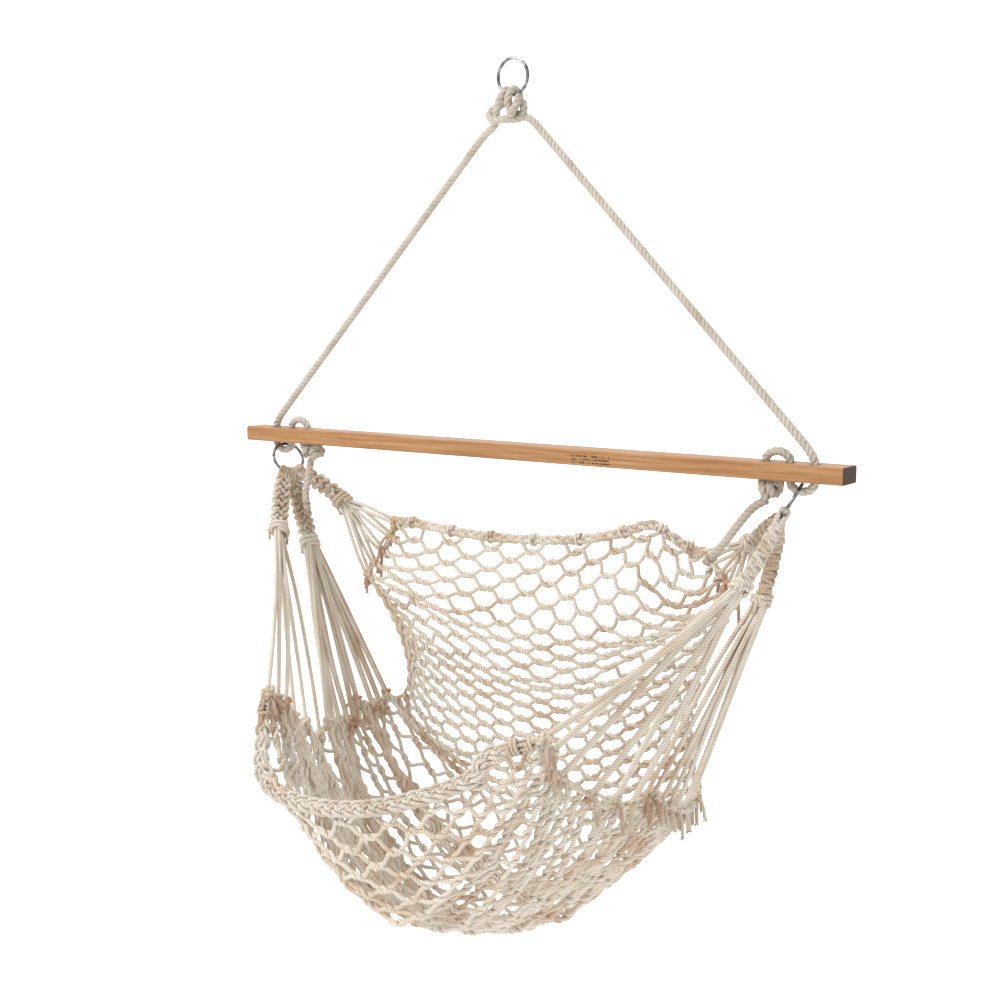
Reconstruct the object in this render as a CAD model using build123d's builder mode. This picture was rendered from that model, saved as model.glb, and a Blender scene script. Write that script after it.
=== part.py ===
from build123d import *
import math
import os

# Hanging rope hammock chair. Millimetres.
# Origin: the point on the inside of the top ring where a hook bears.
# +X runs along the spreader bar to its right end, -Y is the open front of the seat, +Z is up.

# ---- driving dimensions -------------------------------------------------
rope_r = 6.35            # suspension rope, 1/2 in
ring_wire_r = 2.8        # welded steel rings, 2 in inside
ring_r = 28.2            # to the middle of the wire
bar_length = 1155.0
bar_depth = 47.6
bar_height = 25.4
bar_z = -615.0           # middle of the bar below the hook point
bar_edge_fillet = 3.0
hole_r = 7.2
hole_chamfer = 1.2
hole_x = (448.0, 487.0, 525.0)      # inner, middle, outer rope hole on each side
bight_z = bar_z - 28.2              # rope passing under the bar, through the lower ring
over_z = bar_z + 21.9               # rope passing over the bar
stopper_r = 15.0
stopper_length = 24.0
lower_ring_x = 506.0
lower_ring_z = bar_z - 17.75        # middle of the wire at the top of the lower ring
lower_ring_yaw = 20.0
lower_ring_lean = 30.0
hitch_major = 7.8
hitch_minor = 4.6
hitch_step = 28.0                   # degrees along the ring between the three hitches
braid_width = 30.0
braid_thickness = 13.0
wrap_r = 14.0
wrap_length = 22.0
clew_r = 3.1
clew_pitch = 7.2
edge_knot_r = 8.0
back_selvage_r = 7.5
front_selvage_r = 11.0
corner_wrap_r = 13.0
net_thickness = 5.5

bar_top = bar_z + bar_height / 2
bar_bottom = bar_z - bar_height / 2

os.makedirs("parts", exist_ok=True)


def V(p):
    return Vector(*p)


def below_bar(points):
    """Points given from the middle of the bar, moved into the frame of the hook point."""
    return [Vector(x, y, z + bar_z) for x, y, z in points]


def bend_radii(points, share=0.45):
    radii = []
    for a, b, c in zip(points, points[1:], points[2:]):
        turn = (b - a).get_angle(c - b)
        radii.append(share * min((b - a).length, (c - b).length) / math.tan(math.radians(turn) / 2))
    return radii


def report_route(name, points, radii, section_r, solid):
    length = sum((b - a).length for a, b in zip(points, points[1:]))
    print(name, "radii", [round(r) for r in radii], "runs", round(length), "volume/section",
          round(solid.volume / (math.pi * section_r ** 2), 1))


def finish(builder, label):
    builder.part.label = label
    export_step(builder.part, "parts/" + label + ".step")


# ---- top ring and crown knot -------------------------------------------
top_ring_z = -(ring_r - ring_wire_r)
ring_bottom_z = top_ring_z - ring_r

with BuildPart() as top_ring:
    with BuildSketch(Plane.YZ):
        with Locations((0, ring_bottom_z)):
            Circle(ring_wire_r)
    revolve(axis=Axis((0, 0, top_ring_z), (0, 1, 0)), revolution_arc=360)
finish(top_ring, "top_ring")

with BuildPart() as crown_knot:
    # two turns round the bottom of the ring
    for x in (-6.6, 6.6):
        with BuildSketch(Plane.XZ):
            with Locations((x, ring_bottom_z - 10.2)):
                Circle(5.9)
        revolve(axis=Axis((0, 0, ring_bottom_z), (1, 0, 0)), revolution_arc=360)
    # the two lobes of the knot under them
    for x, y, z, major in ((-21.5, 1.7, -80.3, 12.0), (20.3, -1.9, -79.1, 11.0)):
        with BuildSketch(Plane.YZ.offset(x)):
            with Locations((y, z - major)):
                Circle(6.2)
        revolve(axis=Axis((x, y, z), (0, 1, 0)), revolution_arc=360)
    # the strand that runs across below
    with BuildSketch(Plane.YZ.offset(-17)):
        with Locations((0.3, -83.5)):
            Circle(5.7)
    extrude(amount=33)
finish(crown_knot, "crown_knot")

# ---- suspension legs -----------------------------------------------------
leg_top = {"left": Vector(-37.0, 0, -94.0), "right": Vector(34.0, 0, -91.0)}
for side, s in (("left", -1), ("right", 1)):
    start = leg_top[side]
    corner = Vector(s * hole_x[2], 0, bar_z + 25.0)
    stop = Vector(s * hole_x[2], 0, bar_top)
    with BuildPart() as suspension_leg:
        with BuildLine() as route:
            FilletPolyline(start, corner, stop, radius=25)
        with BuildSketch(Plane(start, z_dir=corner - start)):
            Circle(rope_r)
        sweep(path=route.line)
    finish(suspension_leg, "suspension_leg_" + side)

# ---- rope laced through the bar -----------------------------------------
for side, s in (("left", -1), ("right", 1)):
    inner, middle, outer = (s * x for x in hole_x)
    pts = [Vector(outer, 0, bar_top), Vector(outer, 0, bight_z), Vector(middle, 0, bight_z),
           Vector(middle, 0, over_z), Vector(inner, 0, over_z), Vector(inner, 0, bar_bottom - 0.3)]
    with BuildPart() as bar_lacing:
        with BuildLine() as route:
            FilletPolyline(*pts, radius=[14, 14, 9, 9])
        with BuildSketch(Plane(pts[0], z_dir=pts[1] - pts[0])):
            Circle(rope_r)
        sweep(path=route.line)
    finish(bar_lacing, "bar_lacing_" + side)

# ---- spreader bar ----------------------------------------------------------
with BuildPart() as spreader_bar:
    with BuildSketch(Plane.YZ.offset(-bar_length / 2)):
        with Locations((0, bar_z)):
            RectangleRounded(bar_depth, bar_height, bar_edge_fillet)
    extrude(amount=bar_length)
    ends = spreader_bar.faces().filter_by(Axis.X)
    chamfer(ends.edges(), 1.0)
    with Locations(*[(s * x, 0, bar_top) for s in (-1, 1) for x in hole_x]):
        Hole(hole_r)
    rims = spreader_bar.edges().filter_by(GeomType.CIRCLE).filter_by(
        lambda e: abs(e.radius - hole_r) < 0.01 and e.length > 2 * math.pi * hole_r * 0.9)
    chamfer(rims, hole_chamfer)
finish(spreader_bar, "spreader_bar")

# ---- stopper knots ---------------------------------------------------------
for side, s in (("left", -1), ("right", 1)):
    top_z = bar_bottom - 0.3
    with BuildPart() as stopper_knot:
        with BuildSketch(Plane.XZ) as profile:
            with BuildLine():
                Polyline((0, top_z), (stopper_r - 3, top_z), (stopper_r, top_z - 4),
                         (stopper_r - 1.6, top_z - 8), (stopper_r, top_z - 12),
                         (stopper_r - 1.6, top_z - 16), (stopper_r, top_z - 20),
                         (stopper_r - 4, top_z - stopper_length), (0, top_z - stopper_length), close=True)
            make_face()
        revolve(axis=Axis.Z, revolution_arc=360)
    stopper_knot.part.label = "stopper_knot_" + side
    moved = stopper_knot.part.moved(Location((s * hole_x[0], 0, 0)))
    moved.label = "stopper_knot_" + side
    export_step(moved, "parts/stopper_knot_" + side + ".step")

# ---- free rope tails below the stopper knots --------------------------------
tails = {
    "left": [(-434, -8, -654.6), (-428, -14, -668), (-424, -19, -684), (-423, -24, -702),
             (-419, -28, -721), (-410, -30, -740)],
    "right": [(452, -3, -659.3), (437, -8, -667), (425, -11, -681), (411, -12, -699),
              (395, -9, -719), (377, -4, -740), (356, 3, -760)],
}
for side in ("left", "right"):
    pts = [V(p) for p in tails[side]]
    radii = bend_radii(pts)
    with BuildPart() as rope_tail:
        with BuildLine() as route:
            FilletPolyline(*pts, radius=radii)
        with BuildSketch(Plane(pts[0], z_dir=pts[1] - pts[0])):
            Circle(rope_r)
        sweep(path=route.line)
    report_route("rope_tail_" + side, pts, radii, rope_r, rope_tail.part)
    finish(rope_tail, "rope_tail_" + side)


# ---- lower rings, braids, whippings, clew cords, edge knots -----------------
# measured from the middle of the bar, back to front down each side of the net
attach = {
    ("back", "left"): [(-321, 85, -154), (-326, 82, -181), (-339, 75, -209), (-354, 68, -232), (-362, 60, -252)],
    ("middle", "left"): [(-314, 50, -462), (-312, 30, -476), (-315, 12, -474), (-333, -8, -465), (-322, -30, -493),
                         (-318, -50, -492), (-324, -67, -488), (-319, -88, -486), (-315, -105, -480)],
    ("front", "left"): [(-309, -133, -493), (-308, -168, -462), (-298, -205, -443), (-279, -245, -407),
                        (-270, -272, -394), (-267, -298, -375)],
    ("back", "right"): [(305, 85, -149), (323, 80, -161), (345, 72, -176), (362, 65, -189), (377, 58, -205)],
    ("middle", "right"): [(320, 50, -514), (326, 30, -522), (329, 12, -529), (329, -8, -530), (329, -30, -524),
                          (328, -50, -514), (323, -67, -505), (320, -88, -490), (316, -105, -488)],
    ("front", "right"): [(308, -133, -495), (303, -168, -477), (287, -210, -463), (266, -255, -426),
                         (264, -275, -384), (266, -298, -359)],
}
wrap_centre = {"front": (450, -76, -161), "middle": (447, -1, -192), "back": (406, 42, -118)}
# which of the two or three rows under the whipping each cord leaves from, in the order of attach
clew_rows = {
    ("back", "left"): (0, 1, 0, 1, 0), ("back", "right"): (1, 0, 0, 1, 0),
    ("middle", "left"): (0, 1, 2, 0, 2, 1, 2, 1, 0), ("middle", "right"): (2, 1, 0, 0, 1, 2, 0, 1, 2),
    ("front", "left"): (0, 1, 1, 0, 0, 1), ("front", "right"): (1, 0, 0, 1, 1, 0),
}
hitch_angle = {"front": -hitch_step, "middle": 0.0, "back": hitch_step}

for side, s in (("left", -1), ("right", 1)):
    yaw, lean = math.radians(lower_ring_yaw), math.radians(lower_ring_lean)
    t = Vector(-s * math.sin(yaw), math.cos(yaw), 0)               # along the wire at the top of the ring
    inward = Vector(-s * math.cos(yaw), -math.sin(yaw), 0)
    down = inward * math.sin(lean) - Vector(0, 0, 1) * math.cos(lean)
    top = Vector(s * lower_ring_x, 0, lower_ring_z)
    centre = top + down * ring_r
    normal = t.cross(down)

    with BuildPart() as lower_ring:
        with BuildSketch(Plane(centre, x_dir=t, z_dir=down)):
            with Locations((ring_r, 0)):
                Circle(ring_wire_r)
        revolve(axis=Axis(centre, normal), revolution_arc=360)
    finish(lower_ring, "lower_ring_" + side)

    for group in ("front", "middle", "back"):
        th = math.radians(hitch_angle[group])
        on_wire = centre + (down * math.cos(th) + t * math.sin(th)) * ring_r
        along = (t * math.cos(th) - down * math.sin(th)).normalized()
        wx, wy, wz = wrap_centre[group]
        wrap_mid = Vector(s * wx, wy, wz + bar_z)
        ends = below_bar(attach[group, side])
        mean = sum(ends, Vector(0, 0, 0)) * (1 / len(ends))
        to_wrap = (wrap_mid - on_wire).normalized()
        axis = ((mean - wrap_mid).normalized() + to_wrap * 0.6).normalized()
        ep = (to_wrap - along * to_wrap.dot(along)).normalized()
        start = on_wire + ep * hitch_major
        stop = wrap_mid - axis * (wrap_length / 2 + 0.3)
        ctrl = stop - axis * ((stop - start).length * 0.4)

        def mid_line(u):
            return start * (1 - u) ** 2 + ctrl * (2 * u * (1 - u)) + stop * u ** 2

        def mid_dir(u):
            return ((ctrl - start) * (2 * (1 - u)) + (stop - ctrl) * (2 * u)).normalized()

        with BuildPart() as braid:
            for u, w, h in ((0.0, 8.6, 8.6), (0.22, 15.0, 10.5), (0.5, braid_width - 2, braid_thickness),
                            (0.75, braid_width, braid_thickness), (1.0, 23.0, 16.0)):
                d = mid_dir(u)
                x_dir = t - d * t.dot(d)
                with BuildSketch(Plane(mid_line(u), x_dir=x_dir, z_dir=d)):
                    RectangleRounded(w, h, min(w, h) * 0.42)
            loft()
            # the turn round the ring
            with BuildSketch(Plane(on_wire, x_dir=ep, z_dir=ep.cross(along))):
                with Locations((hitch_major, 0)):
                    Circle(hitch_minor)
            revolve(axis=Axis(on_wire, along), revolution_arc=360)
        finish(braid, group + "_braid_" + side)

        with BuildPart() as wrap:
            with BuildSketch(Plane(wrap_mid - axis * (wrap_length / 2), z_dir=axis)):
                Circle(wrap_r)
            extrude(amount=wrap_length)
            fillet(wrap.edges(), 2.5)
        finish(wrap, group + "_wrap_" + side)

        # clew cords fan from the whipping to the edge knots
        spread = ends[-1] - ends[0]
        p_dir = (spread - axis * spread.dot(axis)).normalized()
        q_dir = axis.cross(p_dir)
        n = len(ends)
        rows = 3 if n == 9 else 2
        cols = math.ceil(n / rows)
        base = wrap_mid + axis * (wrap_length / 2 + 0.3)
        with BuildPart() as clew_cords:
            for k, end in enumerate(ends):
                col, row = k // rows, clew_rows[group, side][k]
                a = base + p_dir * ((col - (cols - 1) / 2) * clew_pitch) + q_dir * ((row - (rows - 1) / 2) * clew_pitch)
                d = (end - a).normalized()
                with BuildSketch(Plane(a + d * 2.4, z_dir=d)):
                    Circle(clew_r)
                extrude(amount=(end - a).length - 2.4 - edge_knot_r - 0.7)
        finish(clew_cords, group + "_clew_cords_" + side)

        with BuildPart() as edge_knots:
            for end in ends:
                with Locations(end):
                    Sphere(edge_knot_r)
        finish(edge_knots, group + "_edge_knots_" + side)

# ---- selvage ropes along the back and the front of the net ------------------
back_selvage_route = below_bar([
    (-309, 84.5, -152), (-283, 84, -151), (-236, 82, -155), (-155, 78, -160), (-78, 74, -160.5), (7, 70, -155),
    (88, 68, -146), (156, 66, -131), (220, 67, -112), (249, 72, -122), (274, 79, -138), (293, 83.5, -145)])
with BuildPart() as back_selvage:
    radii = bend_radii(back_selvage_route)
    with BuildLine() as route:
        FilletPolyline(*back_selvage_route, radius=radii)
    with BuildSketch(Plane(back_selvage_route[0], z_dir=back_selvage_route[1] - back_selvage_route[0])):
        Circle(back_selvage_r)
    sweep(path=route.line)
report_route("back_selvage", back_selvage_route, radii, back_selvage_r, back_selvage.part)
finish(back_selvage, "back_selvage")

front_selvage_route = below_bar([
    (-267, -308, -413), (-263, -318, -459), (-255, -327, -499), (-229, -332, -521), (-188, -335, -529),
    (-135, -336, -530.5), (-73, -336, -522), (-5, -335, -505), (61, -333, -480), (118, -330, -454),
    (156, -324, -431), (178, -315, -404), (213, -306, -383), (232, -302, -373)])
with BuildPart() as front_selvage:
    radii = bend_radii(front_selvage_route)
    with BuildLine() as route:
        FilletPolyline(*front_selvage_route, radius=radii)
    with BuildSketch(Plane(front_selvage_route[0], z_dir=front_selvage_route[1] - front_selvage_route[0])):
        Circle(front_selvage_r)
    sweep(path=route.line)
report_route("front_selvage", front_selvage_route, radii, front_selvage_r, front_selvage.part)
finish(front_selvage, "front_selvage")

# lashings that hold the ends of the front selvage at the front corners of the net
corner_lash = {
    "left": (front_selvage_route[0], front_selvage_route[0] - front_selvage_route[1], 27.0),
    "right": (front_selvage_route[-1], front_selvage_route[-1] - front_selvage_route[-2], 23.5),
}
for side in ("left", "right"):
    a, d, lash_length = corner_lash[side]
    d = d.normalized()
    with BuildPart() as front_corner_wrap:
        with BuildSketch(Plane(a + d * 0.5, z_dir=d)):
            Circle(corner_wrap_r)
        extrude(amount=lash_length - 0.5)
        fillet(front_corner_wrap.edges(), 2.0)
    finish(front_corner_wrap, "front_corner_wrap_" + side)

# ---- the net: back panel and seat -------------------------------------------
net_rows = {
    1: [(-285, 82, -172), (-191, 78, -182), (-94, 74, -184), (3, 69, -180), (98, 67, -168), (191, 66, -150), (268, 77, -162)],
    4: [(-293, 76, -212), (-189, 73, -245), (-89, 69, -254), (9, 65, -250), (105, 62, -236), (200, 63, -216), (290, 71, -188)],
    8: [(-308, 65, -275), (-197, 63, -334), (-88, 60, -355), (16, 56, -354), (118, 54, -339), (223, 55, -305), (320, 60, -240)],
    12: [(-302, 57, -345), (-204, 55, -400), (-92, 52, -432), (21, 48, -437), (130, 46, -418), (235, 48, -376), (323, 54, -319)],
    16: [(-285, 52, -423), (-195, 49, -461), (-90, 44, -492), (23, 38, -501), (131, 36, -483), (227, 40, -446), (303, 48, -422)],
    20: [(-278, 38, -483), (-191, 38, -536), (-88, 32, -564), (23, 23, -571), (125, 20, -554), (216, 26, -521), (292, 34, -504)],
    21: [(-279, 28, -493), (-196, 27, -560), (-91, 21, -594), (21, 14, -597), (122, 12, -576), (214, 18, -541), (292, 25, -515)],
    24: [(-290, -1, -524), (-211, -7, -634), (-101, -11, -689), (15, -13, -683), (115, -10, -646), (207, -4, -602), (292, 0, -549)],
    28: [(-295, -45, -538), (-223, -57, -684), (-116, -65, -751), (3, -67, -761), (109, -63, -726), (208, -57, -677), (293, -45, -560)],
    32: [(-292, -87, -540), (-224, -108, -699), (-124, -125, -769), (-8, -137, -790), (104, -134, -753), (205, -119, -686), (288, -89, -546)],
    36: [(-286, -134, -530), (-221, -166, -688), (-126, -193, -751), (-15, -208, -768), (93, -203, -727), (192, -176, -658), (277, -137, -529)],
    40: [(-274, -197, -496), (-216, -227, -647), (-126, -252, -693), (-22, -264, -699), (79, -258, -659), (173, -233, -590), (257, -201, -499)],
    44: [(-262, -258, -452), (-216, -284, -574), (-132, -299, -604), (-30, -305, -601), (67, -300, -564), (157, -285, -509), (238, -262, -440)],
    46: [(-255, -283, -437), (-226, -302, -522), (-138, -315, -559), (-36, -318, -550), (63, -314, -515), (154, -302, -468), (230, -282, -412)],
}
for label, keys in (("net_back", (1, 4, 8, 12, 16, 20)), ("net_seat", (21, 24, 28, 32, 36, 40, 44, 46))):
    grid = [below_bar(net_rows[k]) for k in keys]
    skin = Face.make_surface_from_array_of_points(grid, tol=0.5, min_deg=3, max_deg=3)
    with BuildPart() as net:
        thicken(skin, amount=net_thickness / 2, both=True)
    print(label, "volume", round(net.part.volume / 1000), "cm3, area x thickness",
          round(skin.area * net_thickness / 1000), "valid", net.part.is_valid)
    finish(net, label)
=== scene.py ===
import bpy
import math
import numpy as np
from mathutils import Matrix, Vector


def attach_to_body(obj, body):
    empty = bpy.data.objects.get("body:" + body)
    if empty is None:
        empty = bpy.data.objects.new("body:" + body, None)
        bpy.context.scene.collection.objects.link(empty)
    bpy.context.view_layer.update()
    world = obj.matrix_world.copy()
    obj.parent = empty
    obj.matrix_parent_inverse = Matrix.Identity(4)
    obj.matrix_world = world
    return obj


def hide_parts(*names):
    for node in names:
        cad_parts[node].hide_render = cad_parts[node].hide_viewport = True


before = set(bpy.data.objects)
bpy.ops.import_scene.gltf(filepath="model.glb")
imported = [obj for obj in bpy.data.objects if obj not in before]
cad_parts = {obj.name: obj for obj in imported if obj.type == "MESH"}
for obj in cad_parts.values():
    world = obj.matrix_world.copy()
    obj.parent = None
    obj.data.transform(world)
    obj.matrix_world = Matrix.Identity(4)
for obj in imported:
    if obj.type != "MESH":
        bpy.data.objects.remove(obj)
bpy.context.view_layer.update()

# ------------------------------------------------------------------ camera
yaw, pitch = 0.6211, 0.1366
cam_data = bpy.data.cameras.new("view_camera")
cam_data.sensor_width = 36.0
cam_data.lens = 54.0
cam_data.clip_start = 0.05
cam_data.clip_end = 60.0
camera = bpy.data.objects.new("view_camera", cam_data)
bpy.context.scene.collection.objects.link(camera)
cam_right = Vector((math.cos(yaw), math.sin(yaw), 0.0))
cam_look = Vector((-math.sin(yaw) * math.cos(pitch), math.cos(yaw) * math.cos(pitch), -math.sin(pitch)))
cam_up = cam_right.cross(cam_look)
rot = Matrix((cam_right, cam_up, -cam_look)).transposed()
camera.matrix_world = Matrix.Translation(Vector((1.3916, -1.9793, -0.363))) @ rot.to_4x4()
bpy.context.scene.camera = camera
bpy.context.scene.view_settings.view_transform = "Standard"

BAR_Z = -0.615
MM = 0.001


def mm(points):
    """Millimetres from the hook point, to metres."""
    return np.array(points, float) * MM


def bar_mm(points):
    """Millimetres from the middle of the bar, to metres from the hook point."""
    p = np.array(points, float) * MM
    p[..., 2] += BAR_Z
    return p


def unit(v):
    return v / max(np.linalg.norm(v), 1e-12)


# ------------------------------------------------------------------ curves
def arclen(p):
    return np.r_[0, np.cumsum(np.linalg.norm(np.diff(p, axis=0), axis=1))]


def smooth(points, step):
    """A Catmull-Rom line through the points, at even steps along its length."""
    p = np.asarray(points, float)
    if len(p) == 2:
        dense = np.linspace(p[0], p[1], 12)
    else:
        q = np.vstack([2 * p[0] - p[1], p, 2 * p[-1] - p[-2]])
        u = np.linspace(0, 1, 14, endpoint=False)[:, None]
        out = []
        for k in range(len(p) - 1):
            a, b, c, d = q[k:k + 4]
            out.append(0.5 * (2 * b + (c - a) * u + (2 * a - 5 * b + 4 * c - d) * u ** 2
                              + (3 * b - a - 3 * c + d) * u ** 3))
        dense = np.vstack(out + [p[-1:]])
    s = arclen(dense)
    n = max(2, int(round(s[-1] / step)) + 1)
    t = np.linspace(0, s[-1], n)
    return np.stack([np.interp(t, s, dense[:, k]) for k in range(3)], 1)


def frames(p):
    """Tangents and a frame that doesn't twist along the line."""
    t = np.gradient(p, axis=0)
    t /= np.maximum(np.linalg.norm(t, axis=1, keepdims=True), 1e-12)
    ref = np.array([0.0, 0.0, 1.0]) if abs(t[0, 2]) < 0.9 else np.array([1.0, 0.0, 0.0])
    n0 = np.cross(ref, t[0])
    n0 /= np.linalg.norm(n0)
    T = t.tolist()
    n = [tuple(n0)]
    x, y, z = n[0]
    for i in range(1, len(T)):
        a, b, c = T[i]
        d = x * a + y * b + z * c
        x, y, z = x - d * a, y - d * b, z - d * c
        m = math.sqrt(x * x + y * y + z * z) or 1.0
        x, y, z = x / m, y / m, z / m
        n.append((x, y, z))
    n = np.array(n)
    return t, n, np.cross(t, n)


# ------------------------------------------------------------------ mesh maker
class Cords:
    """Gathers tubes into one mesh, with a UV (round, along) and a tone for each tube."""

    def __init__(self):
        self.v, self.f, self.uv, self.tone = [], [], [], []
        self.n = 0

    def tube(self, p, r, sides=9, lobes=0, amp=0.0, pitch=0.02, phase=0.0, tone=0.5, round_ends=True):
        p = np.asarray(p, float)
        if len(p) < 3:
            p = smooth(p, arclen(p)[-1] / 3)
        t, n, b = frames(p)
        s = arclen(p)
        r = np.broadcast_to(np.asarray(r, float), (len(p),)).copy()
        if round_ends:
            # close each end with two extra rings
            head = p[0] - t[0] * r[0] * 0.55
            tail = p[-1] + t[-1] * r[-1] * 0.55
            p = np.vstack([head, p, tail])
            t, n, b = (np.vstack([a[:1], a, a[-1:]]) for a in (t, n, b))
            s = np.r_[s[0] - r[0] * 0.55, s, s[-1] + r[-1] * 0.55]
            r = np.r_[r[0] * 0.62, r, r[-1] * 0.62]
        th = np.arange(sides) * 2 * math.pi / sides
        rr = r[:, None] * np.ones(sides)[None]
        if lobes:
            rr = rr * (1 - amp + amp * np.cos(lobes * (th[None] - 2 * math.pi * s[:, None] / pitch + phase)))
        pts = p[:, None] + rr[..., None] * (np.cos(th)[None, :, None] * n[:, None] + np.sin(th)[None, :, None] * b[:, None])
        m = len(p)
        base = self.n
        pts = pts.reshape(-1, 3)
        i = np.arange(m - 1)[:, None] * sides
        j = np.arange(sides)[None]
        j2 = (j + 1) % sides
        quads = np.stack([i + j, i + j2, i + sides + j2, i + sides + j], -1).reshape(-1, 4) + base
        u0, u1 = j / sides, (j + 1) / sides
        v0, v1 = (s[:-1] / pitch)[:, None], (s[1:] / pitch)[:, None]
        one = np.ones((m - 1, sides))
        off = phase / (2 * math.pi)
        uv = np.stack([np.stack([u0 * one + off, v0 * one], -1), np.stack([u1 * one + off, v0 * one], -1),
                       np.stack([u1 * one + off, v1 * one], -1), np.stack([u0 * one + off, v1 * one], -1)], 2).reshape(-1, 2)
        self.v += [pts, p[:1] - t[:1] * r[0] * 0.25, p[-1:] + t[-1:] * r[-1] * 0.25]
        self.tone.append(np.full(len(pts) + 2, tone))
        self.f.append((quads, uv))
        c0, c1 = base + m * sides, base + m * sides + 1
        k = np.arange(sides)
        k2 = (k + 1) % sides
        tri0 = np.stack([np.full(sides, c0), base + k2, base + k], -1)
        tri1 = np.stack([np.full(sides, c1), base + (m - 1) * sides + k, base + (m - 1) * sides + k2], -1)
        for tri, vv in ((tri0, s[0] / pitch), (tri1, s[-1] / pitch)):
            uvt = np.stack([np.stack([k / sides, np.full(sides, vv)], -1)] * 3, 1).reshape(-1, 2)
            self.f.append((tri, uvt))
        self.n += len(pts) + 2

    def make(self, name, material):
        v = np.vstack(self.v)
        me = bpy.data.meshes.new(name)
        me.vertices.add(len(v))
        me.vertices.foreach_set("co", v.astype(np.float32).ravel())
        loops = np.concatenate([f.ravel() for f, _ in self.f])
        sizes = np.concatenate([np.full(len(f), f.shape[1]) for f, _ in self.f])
        starts = np.r_[0, np.cumsum(sizes)[:-1]]
        me.loops.add(len(loops))
        me.loops.foreach_set("vertex_index", loops.astype(np.int32))
        me.polygons.add(len(sizes))
        me.polygons.foreach_set("loop_start", starts.astype(np.int32))
        me.update(calc_edges=True)
        me.polygons.foreach_set("use_smooth", np.ones(len(sizes), bool))
        uv = me.uv_layers.new(name="cord_uv")
        uv.data.foreach_set("uv", np.concatenate([u for _, u in self.f]).astype(np.float32).ravel())
        tone = me.attributes.new("tone", "FLOAT", "POINT")
        tone.data.foreach_set("value", np.concatenate(self.tone).astype(np.float32))
        me.update()
        me.materials.append(material)
        ob = bpy.data.objects.new(name, me)
        bpy.context.scene.collection.objects.link(ob)
        return ob


def cord(c, p, r, pitch=0.017, tone=0.5, phase=0.0, step=0.0024, resample=True, sides=9, amp=0.11):
    """A three-strand twisted cord as one lobed tube."""
    if resample:
        p = smooth(p, step)
    c.tube(p, r, sides=sides, lobes=3, amp=amp, pitch=pitch, phase=phase, tone=tone)


def rope(c, p, R, pitch, tone=0.5, phase=0.0, step=0.0022, sides=10, strands=3):
    """A laid rope: three round strands turning about the line."""
    p = smooth(p, step)
    t, n, b = frames(p)
    s = arclen(p)
    rs = R * 0.505
    h = R - rs
    for k in range(strands):
        a = 2 * math.pi * (s / pitch + k / strands) + phase
        q = p + h * (np.cos(a)[:, None] * n + np.sin(a)[:, None] * b)
        c.tube(q, rs, sides=sides, lobes=7, amp=0.012, pitch=-0.03, tone=tone + 0.06 * (k - 1))


def plait(c, mid, wid, nor, half_w, half_t, r, period, strands=5, tone=0.5, phase=0.0, doubled=True, rng=None):
    """A flat plait along mid, wid across it and nor out of its face."""
    s = arclen(mid)
    A = np.broadcast_to(half_w, s.shape) - r * (1.7 if doubled else 1.0)
    B = np.broadcast_to(half_t, s.shape) - r
    for k in range(strands):
        ph = 2 * math.pi * (s / period + k / strands) + phase
        if rng is not None:
            # hand-made: each strand wanders a little
            ph = ph + 0.10 * np.sin(s / 0.013 + rng.uniform(0, 6)) + 0.08 * np.sin(s / 0.031 + rng.uniform(0, 6))
        x = A * np.sin(ph)
        z = B * (np.sin if strands % 2 else np.cos)((strands - 1) * ph)
        dx = A * np.cos(ph) * 2 * math.pi / period
        line = mid + x[:, None] * wid + z[:, None] * nor
        tone_k = tone + (0.0 if rng is None else rng.uniform(-0.2, 0.2))
        if doubled:
            # two cords side by side, square to the way the strand runs
            ln = np.sqrt(1 + dx ** 2)
            side = wid / ln[:, None] - np.gradient(mid, axis=0) / np.maximum(np.linalg.norm(np.gradient(mid, axis=0), axis=1, keepdims=True), 1e-9) * (dx / ln)[:, None]
            for e in (-1, 1):
                cord(c, line + side * (e * r * 0.93), r, pitch=0.014, tone=tone_k, phase=k + e, resample=False)
        else:
            cord(c, line, r, pitch=0.016, tone=tone_k, phase=k, resample=False)


def fray(c, end, direction, r, rng, length=0.007, n=9, tone=0.6):
    """Loose yarn at a cut end."""
    d = unit(direction)
    a = unit(np.cross(d, [0.3, 0.5, 0.8]))
    b = np.cross(d, a)
    for k in range(n):
        th = 2 * math.pi * (k + rng.uniform(0, 0.6)) / n
        rad = r * rng.uniform(0.25, 0.75)
        out = a * math.cos(th) + b * math.sin(th)
        L = length * rng.uniform(0.6, 1.2)
        p0 = end - d * 0.002 + out * rad
        p1 = end + d * L * 0.5 + out * (rad + L * 0.10)
        p2 = end + d * L + out * (rad + L * rng.uniform(0.15, 0.45))
        c.tube(smooth([p0, p1, p2], L / 4), r * 0.24, sides=5, tone=tone + rng.uniform(-0.1, 0.15), pitch=0.01)


def knotlet(c, centre, axis, k, r, rng, tone=0.5, squash=1.5):
    """A small pulled-up overhand knot."""
    axis = unit(axis)
    a = unit(np.cross(axis, [0.21, 0.87, 0.44]))
    b = np.cross(axis, a)
    t = np.linspace(0.2, 2 * math.pi + 0.2, 60)
    x = (np.sin(t) + 2 * np.sin(2 * t)) * k
    y = (np.cos(t) - 2 * np.cos(2 * t)) * k
    z = -np.sin(3 * t) * k * squash
    p = centre + x[:, None] * a + y[:, None] * b + z[:, None] * axis
    cord(c, p, r, tone=tone, phase=rng.uniform(0, 6), step=0.0022)


# ------------------------------------------------------------------ materials
def nodes_of(mat):
    mat.use_nodes = True
    nt = mat.node_tree
    return nt, nt.nodes, nt.links, nt.nodes["Principled BSDF"]


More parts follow.
